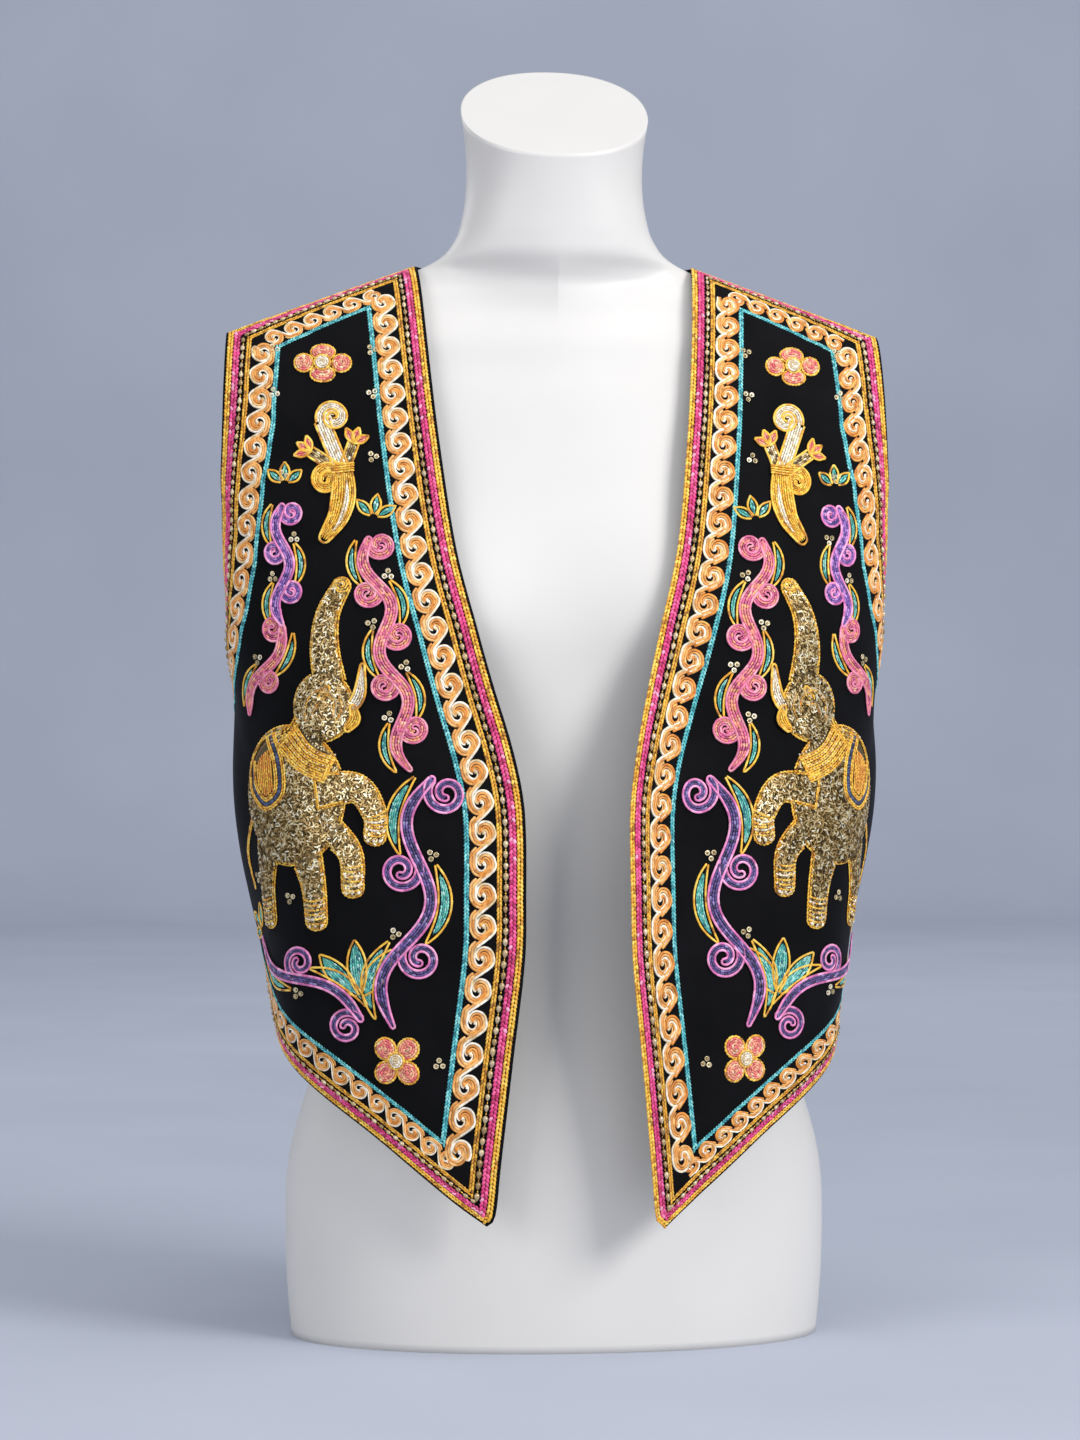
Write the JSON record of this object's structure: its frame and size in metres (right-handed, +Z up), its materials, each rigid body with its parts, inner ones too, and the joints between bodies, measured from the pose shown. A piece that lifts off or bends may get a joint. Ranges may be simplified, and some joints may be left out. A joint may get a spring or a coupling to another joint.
{
  "type": "embroidered folk vest on a limbless dress form",
  "caption": "Black velvet folk vest with pointed open fronts and scroll-embroidered borders, worn by a smooth limbless dress form.",
  "frame": {"origin": "middle of the dress form's flat base", "axes": "+Z up, -Y the way the wearer faces, +X towards the wearer's left"},
  "size_m": [0.4206, 0.272, 0.8005],
  "materials": {
    "form_satin": "smooth satin moulded display torso, warm white",
    "black_velvet": "short-pile cotton velvet, lined, matt black with a soft sheen",
    "gold_braid": "couched chain-stitch cord, golden yellow",
    "magenta_braid": "couched twisted cord, magenta",
    "scroll_threads": "coiled couched cords, orange-tan with cream-white outlines",
    "turquoise_cord": "couched twisted cord, turquoise",
    "bullion": "short antique-gold bullion wire bits sewn down, satin metallic",
    "flower_threads": "thick raised thread applique, rose and salmon"
  },
  "bodies": {
    "root": {"dress_form": "form_satin", "back": "black_velvet", "front_left": "black_velvet", "front_right": "black_velvet", "edge_braid_left": "gold_braid", "edge_braid_right": "gold_braid", "magenta_braid_left": "magenta_braid", "magenta_braid_right": "magenta_braid", "inner_braid_left": "gold_braid", "inner_braid_right": "gold_braid", "scroll_band_left": "scroll_threads", "scroll_band_right": "scroll_threads", "turquoise_cord_left": "turquoise_cord", "turquoise_cord_right": "turquoise_cord", "elephant_left": "bullion", "elephant_right": "bullion", "upper_flower_left": "flower_threads", "upper_flower_right": "flower_threads", "lower_flower_left": "flower_threads", "lower_flower_right": "flower_threads"}
  },
  "joints": []
}
